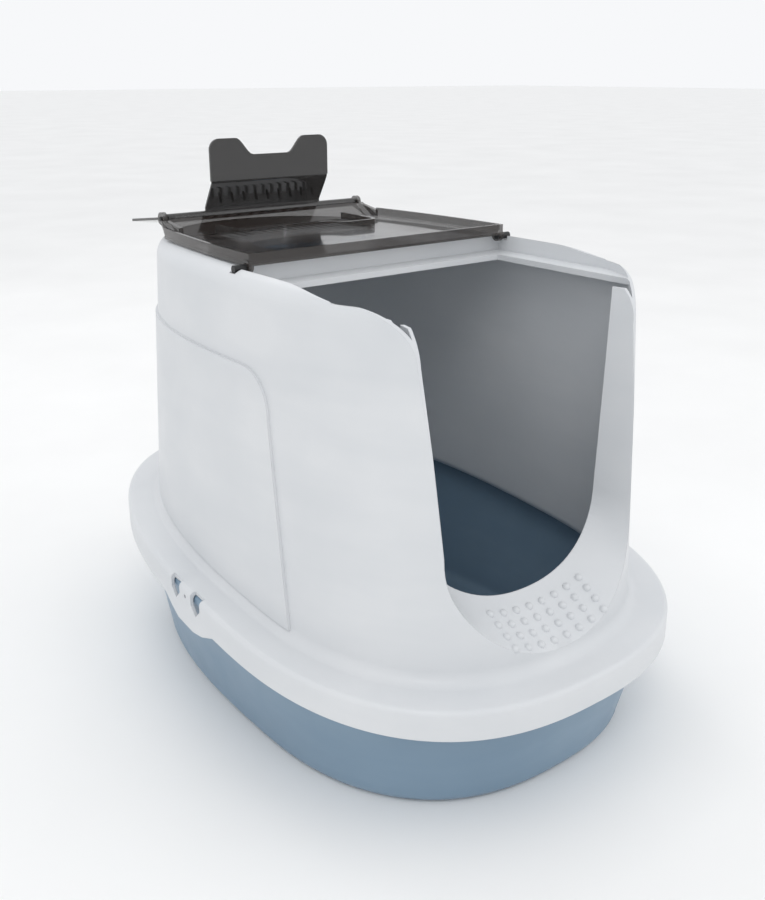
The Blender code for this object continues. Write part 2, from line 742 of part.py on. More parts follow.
def main():
    clear_scene()
    white = finish("white polypropylene", (0.80, 0.81, 0.82), 0.42)
    blue = finish("blue polypropylene", (0.20, 0.31, 0.40), 0.40)
    pale = finish("pale blue polypropylene", (0.30, 0.47, 0.65), 0.35)
    smoke = finish("smoked polystyrene", (0.10, 0.08, 0.07), 0.12, 0.6)
    black = finish("black acetal", (0.02, 0.02, 0.02), 0.4)
    carbon = finish("carbon fleece", (0.015, 0.015, 0.015), 0.95)
    make_tray(blue)
    make_hood(white)
    make_handle(pale)
    make_handle_pins(black)
    make_filter(carbon, white)
    lid = make_lid(smoke)
    make_lid_pins(lid, black)
    make_flap(lid, smoke)
    make_flap_pins(lid, black)


main()
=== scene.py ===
import json
import math

import bmesh
import bpy
from mathutils import Matrix, Vector


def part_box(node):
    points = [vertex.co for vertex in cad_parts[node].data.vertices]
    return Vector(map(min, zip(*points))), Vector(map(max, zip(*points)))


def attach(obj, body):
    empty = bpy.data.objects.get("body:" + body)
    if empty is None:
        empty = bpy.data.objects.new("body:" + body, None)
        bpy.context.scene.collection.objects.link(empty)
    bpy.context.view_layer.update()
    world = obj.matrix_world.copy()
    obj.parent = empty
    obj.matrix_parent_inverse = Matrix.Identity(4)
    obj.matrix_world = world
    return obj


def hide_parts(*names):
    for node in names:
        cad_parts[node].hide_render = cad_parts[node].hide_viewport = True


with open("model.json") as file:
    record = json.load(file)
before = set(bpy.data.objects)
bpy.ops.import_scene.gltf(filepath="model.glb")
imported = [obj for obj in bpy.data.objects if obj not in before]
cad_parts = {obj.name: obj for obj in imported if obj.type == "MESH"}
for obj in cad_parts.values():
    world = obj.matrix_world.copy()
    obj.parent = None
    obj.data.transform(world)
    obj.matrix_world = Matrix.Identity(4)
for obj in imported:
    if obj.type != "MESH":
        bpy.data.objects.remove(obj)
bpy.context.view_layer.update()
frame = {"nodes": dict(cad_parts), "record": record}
joints = {joint["name"]: joint for joint in frame["record"]["behaviour"]["joints"]}
hoodLow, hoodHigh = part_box("hood_shell")
roofZ = hoodHigh[2]
print("frame loaded")

outline = {
    "width": hoodHigh[0] - hoodLow[0],
    "length": hoodHigh[1] - hoodLow[1],
    "widestY": -0.060,  # where the egg is widest
    "power": 2.5,
    "points": 192,
}

hood = {
    "wall": 0.0028,
    "flangeZ": 0.125,  # top of the flange at mid length
    "flangeRise": 0.08,  # it climbs towards the rear
    "flangeWidth": 0.032,
    "flangeRound": 0.004,
    "skirtDrop": 0.024,
    "draft": 0.011,
    "footRound": 0.010,
    "footShare": 0.98,  # the turn up into the wall stops just short of its full height
    "crown": 0.016,
    "plateauStep": 0.0007,  # the roof's middle lies this much lower than its shoulder
    "clipY": -0.003,
    "lobeLength": 0.090,
    "lobeDrop": 0.012,
    "slotWidth": 0.0155,
    "slotHeight": 0.020,
    "tongue": 0.0205,
    "tongueHole": 0.0016,
}

band = {  # the proud band round the lower and rear wall
    "proud": 0.0022,
    "topZ": 0.318,
    "frontY": -0.084,  # its front edge under the round corner
    "frontLean": 0.030,  # how far that edge comes forward down to the flange
    "corner": 0.034,
}

mouth = {
    "top": 0.112,
    "waist": 0.097,
    "waistZ": 0.205,
    "sillZ": 0.140,
    "sillPower": 0.8,  # below 1 the sill is squarer than an ellipse
    "rampDrop": 0.026,
    "rampDepth": 0.042,
    "flare": 0.010,
    "rim": 0.003,
    "browY": -0.200,
    "browRound": 0.045,
    "browLean": 0.022,
    "browDrop": 0.0065,  # the walls' top sinks this much before it rounds down
    "browStart": -0.072,
}

lid = {
    "below": 0.002,
    "wall": 0.0025,
    "tail": 0.005,
    "length": 0.162,
    "rearHalf": 0.133,
    "frontHalf": 0.1185,
    "noseHalf": 0.113,
    "skirt": 0.0095,
    "slopeRun": 0.018,
    "slopeFall": 0.0115,
    "margin": 0.006,
    "ledgeBelow": 0.014,
    "ledgeDepth": 0.005,
    "ledgeReach": 0.020,
    "tailLedge": 0.020,
    "lugRadius": 0.0055,
    "pinRadius": 0.003,
    "openingHalf": 0.0686,
    "openingRim": 0.009,
    "openingFront": 0.024,
    "rimFront": 0.028,
    "knuckleWall": 0.004,
    "knuckleRound": 0.006,
    "knuckleRoot": 0.034,
}

ears = {
    "dip": 0.015,  # how far the ears pass the dip between them
    "inner": 0.019,
    "outer": 0.037,
    "round": 0.010,
}

flap = {
    "barrel": 0.004,
    "wall": 0.0024,
    "half": 0.105,
    "apronLength": 0.086,
    "apronLean": 6.5,
    "apronBow": 0.008,
    "tabHalf": 0.064,
    "tabLength": 0.068,
    "tabLevel": 0.0123,
    "rootStart": 0.031,
    "fingerGap": 0.016,
    "pinRadius": 0.002,
    "run": 0.001,
}

vent = {
    "slots": 17,
    "pitch": 0.0096,
    "width": 0.0045,
    "rearY": 0.181,
    "rearSag": 0.030,
    "frontY": 0.125,
    "frontSag": 0.015,
}

handle = {
    "half": 0.0676,
    "leg": 0.012,
    "bar": 0.018,
    "rearY": 0.088,
    "axisY": joints["handle_hinge"]["pos_m"][1],
    "foot": 0.007,
    "thick": 0.008,
    "below": 0.006,
    "round": 0.022,
    "edge": 0.0016,
    "pinRadius": 0.0022,
    "well": 0.026,
    "pocketWall": 0.0025,
    "pocketMargin": 0.002,
}

tray = {
    "wall": 0.0026,
    "rimWidth": 0.008,
    "rimDepth": 0.003,
    "draft": 0.020,
    "baseRound": 0.010,
    "run": 0.001,
    "play": 0.0004,
}

hair = 0.0003  # joined shapes reach this far into each other
lidTop = roofZ - lid["below"] - joints["lid_hinge"]["pos_m"][2]  # from the hinge axis
flapAxis = Vector((0, -lid["length"] - lid["slopeRun"] - 0.004, lidTop - lid["slopeFall"] - 0.0025))
lidPlace = Matrix.Translation(joints["lid_hinge"]["pos_m"]) @ Matrix.Rotation(math.pi, 4, "X")
flapPlace = Matrix.Translation(joints["flap_hinge"]["pos_m"]) @ Matrix.Rotation(math.pi / 2, 4, "X")


def linear(hexColour, alpha=1.0):
    parts = [int(hexColour[i:i + 2], 16) / 255 for i in (1, 3, 5)]
    return [c / 12.92 if c <= 0.04045 else ((c + 0.055) / 1.055) ** 2.4 for c in parts] + [alpha]


def addNode(tree, kind, settings=None, links=None):
    node = tree.nodes.new(kind)
    for key, value in (settings or {}).items():
        if isinstance(key, int) or key in node.inputs:
            node.inputs[key].default_value = value
        else:
            setattr(node, key, value)
    for key, source in (links or {}).items():
        tree.links.new(source, node.inputs[key])
    return node


def newMaterial(name):
    made = bpy.data.materials.new(name)
    made.use_nodes = True
    made.node_tree.nodes.clear()
    return made, made.node_tree


def mouldedPlastic(name, colour, shade, roughness, ior=1.49, grainMm=1.6, grain=0.05, alpha=1.0, edgeMm=0.8):
    made, tree = newMaterial(name)
    place = addNode(tree, "ShaderNodeTexCoord").outputs["Object"]
    cloud = addNode(tree, "ShaderNodeTexNoise", {"Scale": 9.0, "Detail": 3.0}, {"Vector": place})
    flow = addNode(tree, "ShaderNodeMapping", {"Scale": (4.0, 4.0, 22.0)}, {"Vector": place})
    streak = addNode(tree, "ShaderNodeTexNoise", {"Scale": 1.0, "Detail": 4.0}, {"Vector": flow.outputs[0]})
    both = addNode(tree, "ShaderNodeMath", {"operation": "MULTIPLY"},
                   {0: cloud.outputs["Fac"], 1: streak.outputs["Fac"]})
    tint = addNode(tree, "ShaderNodeMapRange", {"From Min": 0.12, "From Max": 0.40},
                   {"Value": both.outputs[0]})
    paint = addNode(tree, "ShaderNodeMix", {"data_type": "RGBA", 6: linear(shade), 7: linear(colour)},
                    {0: tint.outputs[0]})
    wipe = addNode(tree, "ShaderNodeTexNoise", {"Scale": 34.0, "Detail": 5.0}, {"Vector": place})
    gloss = addNode(tree, "ShaderNodeMapRange",
                    {"From Min": 0.3, "From Max": 0.7,
                     "To Min": roughness - 0.05, "To Max": roughness + 0.06},
                    {"Value": wipe.outputs["Fac"]})
    grains = addNode(tree, "ShaderNodeTexNoise", {"Scale": 1000 / grainMm, "Detail": 2.0}, {"Vector": place})
    soft = addNode(tree, "ShaderNodeBevel", {"samples": 4, "Radius": edgeMm / 1000})
    bump = addNode(tree, "ShaderNodeBump", {"Strength": grain, "Distance": 0.0004},
                   {"Height": grains.outputs["Fac"], "Normal": soft.outputs[0]})
    shader = addNode(tree, "ShaderNodeBsdfPrincipled", {"IOR": ior, "Alpha": alpha},
                     {"Base Color": paint.outputs[2], "Roughness": gloss.outputs[0],
                      "Normal": bump.outputs[0]})
    addNode(tree, "ShaderNodeOutputMaterial", {}, {"Surface": shader.outputs[0]})
    return made


def filterFleece():
    made, tree = newMaterial("carbon fleece")  # a matt, fibrous near-black
    place = addNode(tree, "ShaderNodeTexCoord").outputs["Object"]
    fibres = addNode(tree, "ShaderNodeTexNoise", {"Scale": 700.0, "Detail": 6.0, "Distortion": 1.5},
                     {"Vector": place})
    colour = addNode(tree, "ShaderNodeMix", {"data_type": "RGBA", 6: linear("#101112"), 7: linear("#2B2D2F")},
                     {0: fibres.outputs["Fac"]})
    bump = addNode(tree, "ShaderNodeBump", {"Strength": 0.7, "Distance": 0.0008},
                   {"Height": fibres.outputs["Fac"]})
    shader = addNode(tree, "ShaderNodeBsdfPrincipled", {"Roughness": 0.95, "Sheen Weight": 0.3},
                     {"Base Color": colour.outputs[2], "Normal": bump.outputs[0]})
    addNode(tree, "ShaderNodeOutputMaterial", {}, {"Surface": shader.outputs[0]})
    return made


def smokedStyrene(name, colour, shade, alpha):
    made = mouldedPlastic(name, colour, shade, 0.10, 1.59, grainMm=14.0, grain=0.02, alpha=alpha, edgeMm=0.5)
    shader = made.node_tree.nodes["Principled BSDF"]
    shader.inputs["Coat Weight"].default_value = 0.6
    shader.inputs["Coat Roughness"].default_value = 0.04
    return made


whitePolypropylene = mouldedPlastic("white polypropylene", "#DADCDE", "#D0D3D6", 0.38)  # satin, grained
bluePolypropylene = mouldedPlastic("slate blue polypropylene", "#8299AC", "#778FA3", 0.36)  # satin grey-blue
paleBluePolypropylene = mouldedPlastic("pale blue polypropylene", "#97B8D6", "#8CAECD", 0.32)  # light satin
smokedPolystyrene = smokedStyrene("smoked polystyrene", "#2A211C", "#231B17", 0.62)  # clear brown, polished
shadedSmokedStyrene = smokedStyrene("smoked polystyrene with painted shade", "#15110F", "#110E0D", 0.88)  # the lid's smoked plastic made near black: painted shade
blackAcetal = mouldedPlastic("black acetal", "#1B1C1E", "#151617", 0.35, 1.48)  # dense, slightly waxy black
carbonFleece = filterFleece()
print("materials made")


def meshFrom(name, bm, place=None):
    bmesh.ops.remove_doubles(bm, verts=bm.verts, dist=0.000001)
    bmesh.ops.recalc_face_normals(bm, faces=bm.faces)
    mesh = bpy.data.meshes.new(name)
    bm.to_mesh(mesh)
    bm.free()
    if place:
        mesh.transform(place)
    item = bpy.data.objects.new(name, mesh)
    bpy.context.scene.collection.objects.link(item)
    return item


def lofted(name, rings):
    bm = bmesh.new()
    made = [[bm.verts.new(p) for p in ring] for ring in rings]
    for low, high in zip(made, made[1:]):
        for i in range(len(low)):
            j = (i + 1) % len(low)
            bm.faces.new((low[i], low[j], high[j], high[i]))
    bm.faces.new(made[0])
    bm.faces.new(made[-1])
    bm.normal_update()
    bmesh.ops.triangulate(bm, faces=bm.faces)
    return meshFrom(name, bm)


def prism(name, points, low, high, axis="Z"):
    places = {"X": lambda a, b, c: (c, a, b), "Y": lambda a, b, c: (a, c, b), "Z": lambda a, b, c: (a, b, c)}
    place = places[axis]
    return lofted(name, [[place(a, b, c) for a, b in points] for c in (low, high)])


def block(name, low, high):
    (x0, y0, z0), (x1, y1, z1) = low, high
    return prism(name, [(x0, y0), (x1, y0), (x1, y1), (x0, y1)], z0, z1)


def rod(name, radius, x0, x1, y, z, sides=40):
    turns = [2 * math.pi * i / sides for i in range(sides)]
    outline = [(y + radius * math.cos(t), z + radius * math.sin(t)) for t in turns]
    return prism(name, outline, *sorted((x0, x1)), "X")


def merged(items):
    bm = bmesh.new()
    for item in items:
        bm.from_mesh(item.data)
        bpy.data.objects.remove(item, do_unlink=True)
    return meshFrom("cutters", bm)


def carve(item, other, operation="DIFFERENCE", solver="MANIFOLD"):
    step = item.modifiers.new("carve", "BOOLEAN")
    step.object = other
    step.operation = operation
    step.solver = solver
    bpy.context.view_layer.update()
    found = item.evaluated_get(bpy.context.evaluated_depsgraph_get())
    mesh = bpy.data.meshes.new_from_object(found)
    item.modifiers.clear()
    item.data = mesh
    bpy.data.objects.remove(other, do_unlink=True)


def finished(item, name, material, smoothAngle=32, place=None):
    mesh = item.data
    if place:
        mesh.transform(place)
    mesh.materials.clear()
    mesh.materials.append(material)
    mesh.polygons.foreach_set("material_index", [0] * len(mesh.polygons))
    mesh.shade_smooth()
    mesh.set_sharp_from_angle(angle=math.radians(smoothAngle))
    item.name = name
    mesh.name = name
    return item


def settle(item):
    bpy.context.view_layer.update()
    found = item.evaluated_get(bpy.context.evaluated_depsgraph_get())
    mesh = bpy.data.meshes.new_from_object(found)
    item.modifiers.clear()
    item.data = mesh
    return item


def egg(inset=0.0, frontInset=None):
    widest = outline["widestY"]
    half = outline["width"] / 2 - inset
    rear = outline["length"] / 2 - widest - inset
    front = outline["length"] / 2 + widest - (inset if frontInset is None else frontInset)
    points = []
    for i in range(outline["points"]):
        turn = 2 * math.pi * (i + 0.5) / outline["points"]
        c, s = math.cos(turn), math.sin(turn)
        x = half * math.copysign(abs(c) ** (2 / outline["power"]), c)
        reach = rear if s > 0 else front
        points.append((x, widest + reach * math.copysign(abs(s) ** (2 / outline["power"]), s)))
    return points


def flangeZ(y):
    return hood["flangeZ"] + hood["flangeRise"] * y


def lobe(y):
    away = abs(y - hood["clipY"]) / (hood["lobeLength"] / 2)
    return 0.0 if away >= 1 else 0.5 + 0.5 * math.cos(math.pi * min(1, max(0, (away - 0.35) / 0.65)))


def atFlange(inset, above, lobed=False):
    drop = hood["lobeDrop"] if lobed else 0.0
    return [(x, y, flangeZ(y) + above - drop * lobe(y)) for x, y in egg(inset)]


def wallRing(inset, share, top):
    return [(x, y, (1 - share) * (flangeZ(y) + hood["footRound"]) + share * top) for x, y in egg(inset)]


def quarter(count):
    return [math.pi / 2 * i / count for i in range(count + 1)]


def wallRings(wall, proud=0.0, steps=10):
    foot = hood["flangeWidth"] + wall - proud
    turn = hood["crown"] - wall
    top = roofZ - wall - turn
    return [wallRing(foot + hood["draft"] * i / steps, i / steps, top) for i in range(steps)]


def crownRings(wall, steps=8):
    start = hood["flangeWidth"] + wall + hood["draft"]
    turn, top = hood["crown"] - wall, roofZ - wall
    rings = []
    for angle in quarter(steps):
        drawn = start + turn * (1 - math.cos(angle))
        rings.append([(x, y, top - turn * (1 - math.sin(angle))) for x, y in egg(drawn)])
    return rings


def skirtRings(wall):
    edge, foot = hood["flangeRound"], hood["flangeWidth"] + wall
    lip = 0.0005  # round of the skirt's bottom edge
    rings = [atFlange(wall + (lip if wall == 0 else -lip), -hood["skirtDrop"], True)]
    rings.append(atFlange(wall, -hood["skirtDrop"] + lip, True))
    rings.append(atFlange(wall, -hood["skirtDrop"] * 0.62 - wall, False))
    for angle in quarter(5):
        rings.append(atFlange(wall + edge * (1 - math.cos(angle)), -wall - edge * (1 - math.sin(angle))))
    rise = hood["footRound"]
    for angle in quarter(7):
        lift = rise * (1 - math.cos(angle)) * hood["footShare"]
        rings.append(atFlange(foot - rise * (1 - math.sin(angle)), -wall + lift))
    return rings


def hoodSkin():
    outer = skirtRings(0.0) + wallRings(0.0)[1:] + crownRings(0.0)
    edge = hood["flangeWidth"] + hood["draft"] + hood["crown"]
    step = hood["plateauStep"]
    outer.append([(x, y, roofZ) for x, y in egg(edge + 0.0008)])
    outer.append([(x, y, roofZ - step) for x, y in egg(edge + 0.0014)])
    inner = skirtRings(hood["wall"]) + wallRings(hood["wall"])[1:] + crownRings(hood["wall"])
    return lofted("hood", inner[::-1] + outer)


def bandSleeve():
    proud = band["proud"]
    outer = wallRings(0.0, proud, 14)
    outer = [[(x, y, z - 0.004) for x, y, z in outer[0]]] + outer
    inner = wallRings(hood["wall"] / 2, 0.0, 14)
    inner = [[(x, y, z - 0.004) for x, y, z in inner[0]]] + inner
    bm = bmesh.new()
    rings = [[bm.verts.new(p) for p in ring] for ring in outer + inner[::-1]]
    for low, high in zip(rings, rings[1:] + rings[:1]):
        for i in range(len(low)):
            j = (i + 1) % len(low)
            bm.faces.new((low[i], low[j], high[j], high[i]))
    bm.normal_update()
    bmesh.ops.triangulate(bm, faces=bm.faces)
    sleeve = meshFrom("band_sleeve", bm)
    rear, corner = outline["length"] / 2, band["corner"]
    points = [(rear, band["topZ"])]
    for angle in quarter(10):
        points.append((band["frontY"] + corner * (1 - math.sin(angle)),
                       band["topZ"] - corner * (1 - math.cos(angle))))
    points.append((band["frontY"] - band["frontLean"], flangeZ(band["frontY"]) - 0.01))
    points.append((rear, flangeZ(band["frontY"]) - 0.01))
    carve(sleeve, prism("band_side", points, -outline["width"] / 2, outline["width"] / 2, "X"), "INTERSECT")
    return sleeve


def mouthOutline(grow, lower):
    top, waist = mouth["top"] + grow, mouth["waist"] + grow
    sill, high = mouth["sillZ"] - lower, roofZ + 0.03
    points = [(top, high), (top, roofZ - hood["crown"])]
    for i in range(49):
        turn = math.pi * i / 48
        fall = (mouth["waistZ"] - sill) * math.sin(turn) ** mouth["sillPower"]
        points.append((waist * math.cos(turn), mouth["waistZ"] - fall))
    return points + [(-top, roofZ - hood["crown"]), (-top, high)]


def rampY(step):
    return -outline["length"] / 2 + hood["flangeWidth"] + mouth["rampDepth"] * (1 - step)


def mouthFunnel(name, grow):
    rings = []
    for step in (-1.2, 0.0, 0.25, 0.5, 0.75, 1.0, 2.2):
        flare = min(step, 1.0)
        shape = mouthOutline(grow + mouth["flare"] * flare, grow + mouth["rampDrop"] * flare)
        rings.append([(x, rampY(step), z) for x, z in shape])
    return lofted(name, rings)


def browCutter():
    high, low, front = roofZ + 0.02, mouth["waistZ"], -outline["length"] / 2 - 0.02
    browY, turn, drop, begin = mouth["browY"], mouth["browRound"], mouth["browDrop"], mouth["browStart"]
    points = [(begin, high), (front, high), (front, low), (browY - mouth["browLean"], low)]
    for angle in quarter(24):
        z = roofZ - drop - (turn - drop) * (1 - math.sin(angle))
        points.append((browY + turn * (1 - math.cos(angle)), z))
    start = browY + turn
    for i in range(1, 21):
        sink = 0.5 + 0.5 * math.cos(math.pi * i / 20)
        points.append((start + (begin - start) * i / 20, roofZ + hair - (drop + hair) * sink))
    return prism("brow", points, -outline["width"] / 2, outline["width"] / 2, "X")


def insideWalls(cutter, low, high):
    inside = egg(hood["flangeWidth"] + hood["draft"] + hood["wall"])
    carve(cutter, prism("limit", inside, low - hair, high + hair), "INTERSECT")
    return cutter


def insideWall(name):
    low = atFlange(hood["flangeWidth"] + hood["wall"] / 2 - 0.003, hood["footRound"] * 0.3)
    return lofted(name, [low] + wallRings(hood["wall"] / 2) + crownRings(hood["wall"] / 2))


def collar():
    rim = mouthFunnel("collar", mouth["rim"])
    depth = mouth["rampDepth"] + hood["flangeWidth"] + hood["draft"] / 2
    low, high = flangeZ(-outline["length"] / 2) - 0.02, roofZ + 0.02
    hollow = lofted("hollow", [[(x, y, z) for x, y in egg(hood["flangeWidth"], depth)] for z in (low, high)])
    carve(rim, insideWall("collar_bounds"), "INTERSECT")
    carve(rim, hollow)
    return rim


def seatHalf():
    return lid["rearHalf"] + lid["margin"]


def lidSeat():
    low = roofZ - lid["ledgeBelow"] - lid["ledgeDepth"]
    front = -outline["length"] / 2 + hood["flangeWidth"]
    outer = outline["width"] / 2 - hood["flangeWidth"] - hood["draft"] - hood["wall"] / 2
    hingeY = joints["lid_hinge"]["pos_m"][1]
    rear = hingeY + lid["tail"] + 0.006
    seat = block("seat", (-outer, front, low), (outer, rear, roofZ - hood["wall"] / 2))
    carve(seat, insideWall("seat_bounds"), "INTERSECT")
    return seat


def stadium(x, half, y0, y1, low, high):
    points = []
    for middle, start in ((y1 - half, 0), (y0 + half, math.pi)):
        points += [(x + half * math.cos(start + a), middle + half * math.sin(start + a)) for a in
                   [math.pi * i / 8 for i in range(9)]]
    return prism("slot", points, low, high)


def ventCutters():
    made = []
    for i in range(vent["slots"]):
        x = (i - (vent["slots"] - 1) / 2) * vent["pitch"]
        away = (x / (vent["pitch"] * (vent["slots"] - 1) / 2)) ** 2
        y0, y1 = vent["frontY"] - vent["frontSag"] * away, vent["rearY"] - vent["rearSag"] * away
        made.append(stadium(x, vent["width"] / 2, y0, y1, roofZ - 0.02, roofZ + 0.01))
    return merged(made)


def clipCutters():
    made = []
    reach = outline["width"] / 2
    for side in (-1, 1):
        for way in (-1, 1):
            y = hood["clipY"] + way * (hood["tongue"] + hood["slotWidth"]) / 2
            half, top = hood["slotWidth"] / 2, flangeZ(y) + 0.002
            foot = top - hood["slotHeight"]
            points = [(y - half, top), (y - half, foot + half)]
            points += [(y, foot), (y + half, foot + half), (y + half, top)]
            made.append(prism("clip", points, *sorted((side * (reach - 0.006), side * (reach + 0.01))), "X"))
        z = flangeZ(hood["clipY"]) - 0.008
        ends = side * (reach - 0.006), side * (reach + 0.01)
        made.append(rod("hole", hood["tongueHole"], *ends, hood["clipY"], z, 20))
    return merged(made)


def handleOutline(grow=0.0, inner=True, corner=12):
    half, turn = handle["half"] + grow, handle["round"] + grow
    front, rear = handle["axisY"] - handle["foot"] - grow, handle["rearY"] + grow
    points = [(half, front)]
    points += [(half - turn + turn * math.cos(a), rear - turn + turn * math.sin(a)) for a in quarter(corner)]
    points += [(-x, y) for x, y in points[::-1]]
    if inner:
        leg, bar, small = handle["half"] - handle["leg"], handle["rearY"] - handle["bar"], 0.005
        near = [(leg, front)]
        near += [(leg - small + small * math.cos(a), bar - small + small * math.sin(a)) for a in quarter(5)]
        points += [(-x, y) for x, y in near] + near[::-1]
    return points


def handleTop():
    return roofZ - handle["below"]


def handlePocket():
    grow = handle["pocketMargin"] + handle["pocketWall"]
    low = handleTop() - handle["well"]
    return prism("pocket", handleOutline(grow, False), low, roofZ - hood["wall"] / 2)


def pocketCutters():
    top = handleTop()
    floor = top - handle["well"] + handle["pocketWall"]
    shelf = top - handle["thick"] - 0.0015
    tub = prism("tub", handleOutline(handle["pocketMargin"], False), shelf, roofZ + 0.01)
    leg, front, rear = handle["half"] - handle["leg"], handle["axisY"] + 0.004, handle["rearY"] - 0.006
    well = block("well", (-leg, front, floor), (leg, rear, roofZ + 0.01))
    reach = handle["half"] + handle["pocketMargin"] + handle["pocketWall"] + 0.004
    radius = handle["pinRadius"] + tray["play"]
    bore = rod("bore", radius, -reach, reach, handle["axisY"], top - handle["thick"] / 2, 24)
    return tub, well, bore


def makeHood():
    shell = hoodSkin()
    carve(shell, bandSleeve(), "UNION")
    carve(shell, collar(), "UNION")
    carve(shell, lidSeat(), "UNION")
    carve(shell, handlePocket(), "UNION")
    carve(shell, mouthFunnel("mouth", 0.0))
    carve(shell, browCutter())
    hingeY, hingeZ = joints["lid_hinge"]["pos_m"][1:]
    reach, front = seatHalf() - lid["ledgeReach"], -outline["length"] / 2 - 0.02
    rear, high, low = hingeY + lid["tail"] + 0.002, roofZ + 0.02, roofZ - lid["ledgeBelow"]
    under = low - lid["ledgeDepth"] - 2 * hair
    roof = block("roof", (-reach, front, under), (reach, rear - lid["tailLedge"], high))
    carve(shell, insideWalls(roof, under, high))
    seat = block("seat", (-seatHalf(), front, low), (seatHalf(), rear, high))
    carve(shell, insideWalls(seat, low, high))
    notch = lid["pinRadius"] + flap["run"]
    for side in (-1, 1):
        xs = sorted((side * (seatHalf() - 0.002), side * (seatHalf() + 0.006)))
        carve(shell, block("notch", (xs[0], hingeY - notch, hingeZ - notch), (xs[1], hingeY + notch, high)))
    carve(shell, ventCutters())
    for cutter in pocketCutters():
        carve(shell, cutter)
    carve(shell, clipCutters())
    return finished(shell, "hood_moulding", whitePolypropylene)


def makeTray():
    rimInset = hood["wall"] + tray["run"]
    rimTop = -hood["wall"] - tray["play"]
    topInset = rimInset + tray["rimWidth"]
    baseInset = topInset + tray["draft"]
    base, wall = tray["baseRound"], tray["wall"]
    rimLow = rimTop - hood["flangeRound"] - tray["rimDepth"]

    def side(inset, share, foot):
        return [(x, y, (1 - share) * foot + share * (flangeZ(y) + rimLow)) for x, y in egg(inset)]

    def floorTurn(inset, turn, low):
        rings = []
        for angle in quarter(8):
            drawn = inset + turn * (1 - math.sin(angle))
            rings.append([(x, y, low + turn * (1 - math.cos(angle))) for x, y in egg(drawn)])
        return rings

    outer = floorTurn(baseInset, base, 0.0)
    outer += [side(baseInset - tray["draft"] * s / 8, s / 8, base) for s in range(1, 9)]
    outer.append(atFlange(rimInset, rimLow))
    outer += [atFlange(rimInset + hood["flangeRound"] * (1 - math.cos(a)),
                       rimTop - hood["flangeRound"] * (1 - math.sin(a)))
              for a in quarter(4)]
    inner = [atFlange(topInset + wall, rimTop), atFlange(topInset + wall + 0.0006, rimTop - 0.0008)]
    inner += [side(baseInset + wall - tray["draft"] * s / 8, s / 8, base + wall) for s in range(7, 0, -1)]
    inner += floorTurn(baseInset + wall, base, wall)[::-1]
    return finished(lofted("tray", outer + inner), "tray_moulding", bluePolypropylene)


def makeHandle():
    top = handleTop()
    bail = prism("bail", handleOutline(), top - handle["thick"], top)
    reach = handle["half"] + 0.01
    radius = handle["pinRadius"] + tray["play"]
    bore = rod("bore", radius, -reach, reach, handle["axisY"], top - handle["thick"] / 2, 24)
    edge = bail.modifiers.new("edge", "BEVEL")
    edge.width, edge.segments = handle["edge"], 3
    edge.limit_method, edge.angle_limit = "ANGLE", math.radians(50)
    settle(bail)
    carve(bail, bore)
    return finished(bail, "handle_bail", paleBluePolypropylene)


def earsOutline(half, length, front):
    points = [(half, front)]
    count = 64
    for i in range(count + 1):
        x = half * math.cos(math.pi * i / count)
        rise = min(1.0, max(0.0, (abs(x) - ears["inner"]) / (ears["outer"] - ears["inner"])))
        y = length - ears["dip"] * (1 - rise * rise * (3 - 2 * rise))
        past = max(0.0, abs(x) - (half - ears["round"]))
        points.append((x, y - ears["round"] + math.sqrt(max(0.0, ears["round"] ** 2 - past ** 2))))
    return points + [(-half, front)]


def openingOutline(grow, front):
    shape = earsOutline(lid["openingHalf"] + grow, flap["tabLength"] + flap["fingerGap"] + grow, front)
    return [(x, y + flapAxis.y) for x, y in shape]


def openingRim():
    outer = openingOutline(lid["wall"], lid["rimFront"])
    inner = openingOutline(-hair, lid["rimFront"])
    low, high = lidTop - lid["openingRim"], lidTop - lid["wall"] / 2
    sections = [[(a, b, low), (c, d, low), (c, d, high), (a, b, high)]
                for (a, b), (c, d) in zip(outer, inner)]
    return lofted("rim", sections)


def lidHalf(y):
    share = min(1.0, max(0.0, -y / lid["length"]))
    return lid["rearHalf"] - (lid["rearHalf"] - lid["frontHalf"]) * share ** 2


def sideSkirt(side):
    sections = []
    low, high = lidTop - lid["skirt"], lidTop - lid["wall"] / 2
    for i in range(25):
        y = lid["tail"] - hair - (lid["tail"] + lid["length"] - 0.001) * i / 24
        outer, inner = side * (lidHalf(y) - hair), side * (lidHalf(y) - lid["wall"])
        sections.append([(outer, y, low), (inner, y, low), (inner, y, high), (outer, y, high)])
    return lofted("skirt", sections)


def slopePlate():
    dy, dz = lid["slopeRun"], lid["slopeFall"]
    down = Vector((0, dz, -dy)) * (lid["wall"] / math.hypot(dy, dz))
    rows = []
    for share, half in ((-0.08, lid["frontHalf"]), (1.0, lid["noseHalf"])):
        top = Vector((0, -lid["length"] - dy * share, lidTop - hair - dz * share))
        across = Vector((half - 2 * hair, 0, 0))
        rows.append([top + across, top - across, top - across + down, top + across + down])
    return lofted("slope", rows)


def knuckle(side):
    inner = side * (flap["half"] + flap["run"])
    outer = side * (flap["half"] + flap["run"] + lid["knuckleWall"])
    y, z = flapAxis.y, flapAxis.z
    turns = [math.pi * i / 24 for i in range(18, 49)]
    points = [(y + lid["knuckleRound"] * math.cos(t), z + lid["knuckleRound"] * math.sin(t)) for t in turns]
    root, high = y + lid["knuckleRoot"], lidTop - lid["wall"] * 0.4
    points += [(root, lidTop - lid["skirt"]), (root, high), (root - 0.013, high)]
    return prism("knuckle", points, *sorted((inner, outer)), "X")


